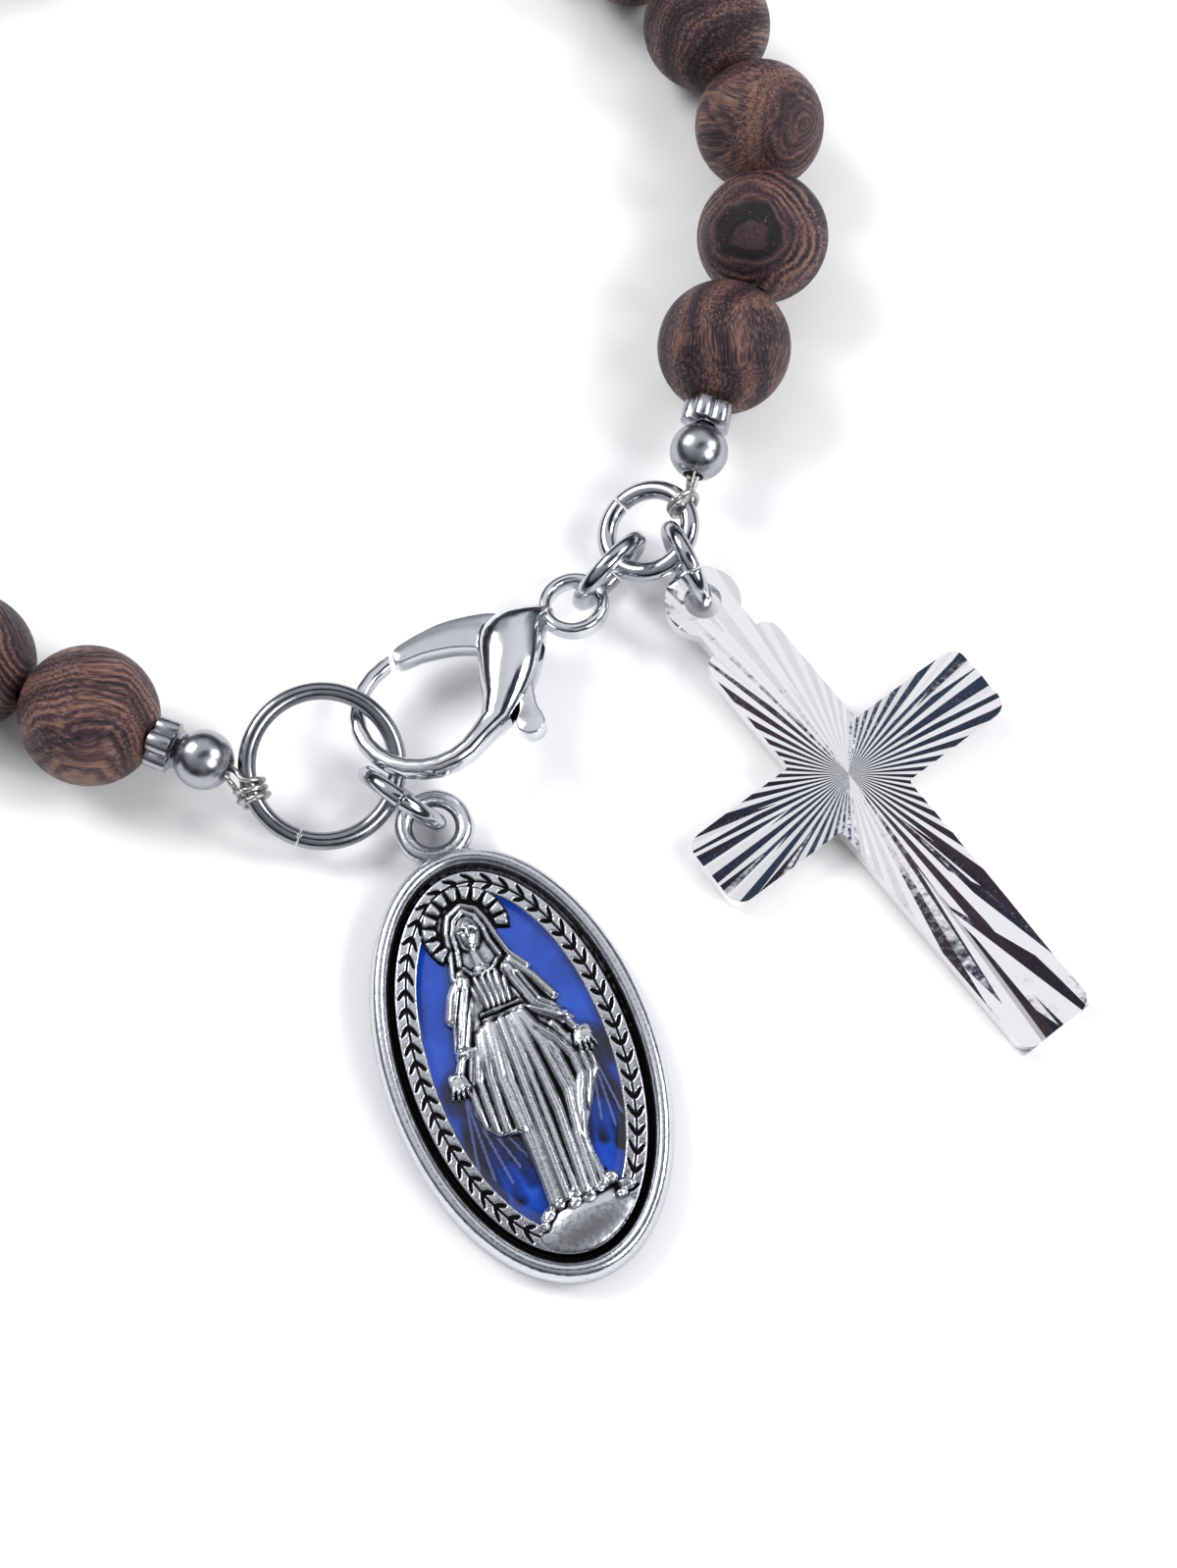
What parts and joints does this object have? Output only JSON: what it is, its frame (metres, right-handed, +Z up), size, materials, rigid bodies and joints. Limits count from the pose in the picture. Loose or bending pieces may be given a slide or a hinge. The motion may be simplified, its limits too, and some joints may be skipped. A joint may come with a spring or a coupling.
{
  "type": "rosary bracelet",
  "caption": "Lying rosary bracelet: round wooden beads on wire, a lobster clasp on a large ring, an oval enamelled medal and a diamond-cut cross on jump rings.",
  "frame": {"origin": "centre of the round stretch of beads, where the wrist goes, on the surface that the bracelet lies on", "axes": "+Z up, out of the surface; +X to the right and -Y towards the front, where the clasp, the medal and the cross lie"},
  "size_m": [0.0836, 0.0981, 0.0079],
  "materials": {
    "dark_wood": "turned, stained dark brown and waxed, with open grain",
    "wire_steel": "twisted beading wire, satin",
    "bright_silver": "polished silver plate",
    "worn_silver": "drawn wire, worn and a little dark",
    "antique_silver": "cast, dark in the recesses and polished on the high places",
    "blue_enamel": "glossy translucent enamel over engraved metal",
    "cut_silver": "polished plate with fine diamond cuts"
  },
  "bodies": {
    "bracelet": {"bead_01": "dark_wood", "bead_02": "dark_wood", "bead_03": "dark_wood", "bead_04": "dark_wood", "bead_05": "dark_wood", "bead_06": "dark_wood", "bead_07": "dark_wood", "bead_08": "dark_wood", "bead_09": "dark_wood", "bead_10": "dark_wood", "bead_11": "dark_wood", "bead_12": "dark_wood", "bead_13": "dark_wood", "bead_14": "dark_wood", "bead_15": "dark_wood", "bead_16": "dark_wood", "bead_17": "dark_wood", "bead_18": "dark_wood", "bead_19": "dark_wood", "bead_20": "dark_wood", "stringing_wire": "wire_steel", "crimp_cover_left": "bright_silver", "crimp_cover_right": "bright_silver", "spacer_left": "bright_silver", "spacer_right": "bright_silver", "big_ring": "worn_silver", "small_ring": "bright_silver", "clasp_body": "bright_silver", "clasp_link": "bright_silver", "cross_link": "bright_silver", "medal_link": "bright_silver", "medal": "antique_silver", "enamel_left": "blue_enamel", "enamel_right": "blue_enamel", "cross_pendant": "cut_silver"},
    "lever": {"clasp_lever": "bright_silver"}
  },
  "joints": [
    {"name": "lever_hinge", "type": "hinge", "parent": "bracelet", "child": "lever", "pos_m": [0.01626, -0.02681, 0.00282], "axis": [-0.088, 0.1465, 0.9853], "range_deg": [0, 25], "stiffness_Nm_per_rad": 0.004}
  ]
}
